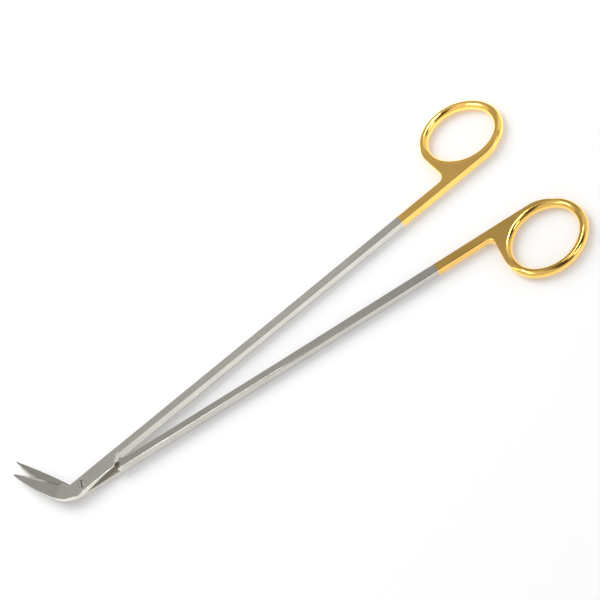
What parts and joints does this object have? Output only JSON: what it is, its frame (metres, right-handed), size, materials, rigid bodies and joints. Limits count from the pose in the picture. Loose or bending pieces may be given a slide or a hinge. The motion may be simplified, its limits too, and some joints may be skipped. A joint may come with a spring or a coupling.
{
  "type": "potts scissors",
  "caption": "Long slender surgical scissors with short blades bent aside at a screw joint and gilt oval finger rings.",
  "frame": {"origin": "on the pivot axis, in the plane that the scissors lie on", "axes": "+X along the line between the shanks towards the finger rings, +Z out of the screw head, +Y to the side that the blades turn to"},
  "size_m": [0.2523, 0.0932, 0.0048],
  "materials": {
    "satin_steel": "satin, with polished gilt handles from the grip outwards",
    "carbide": "fine ground",
    "screw_steel": "satin, turned"
  },
  "bodies": {
    "lower_body": {"bottom_half": "satin_steel", "bottom_cutting_strip": "carbide", "pivot_screw": "screw_steel"},
    "upper_body": {"top_half": "satin_steel", "top_cutting_strip": "carbide"}
  },
  "joints": [
    {"name": "blade_pivot", "type": "hinge", "parent": "lower_body", "child": "upper_body", "pos_m": [0, 0, 0], "axis": [0, 0, 1], "range_deg": [-8.3, 50]}
  ]
}
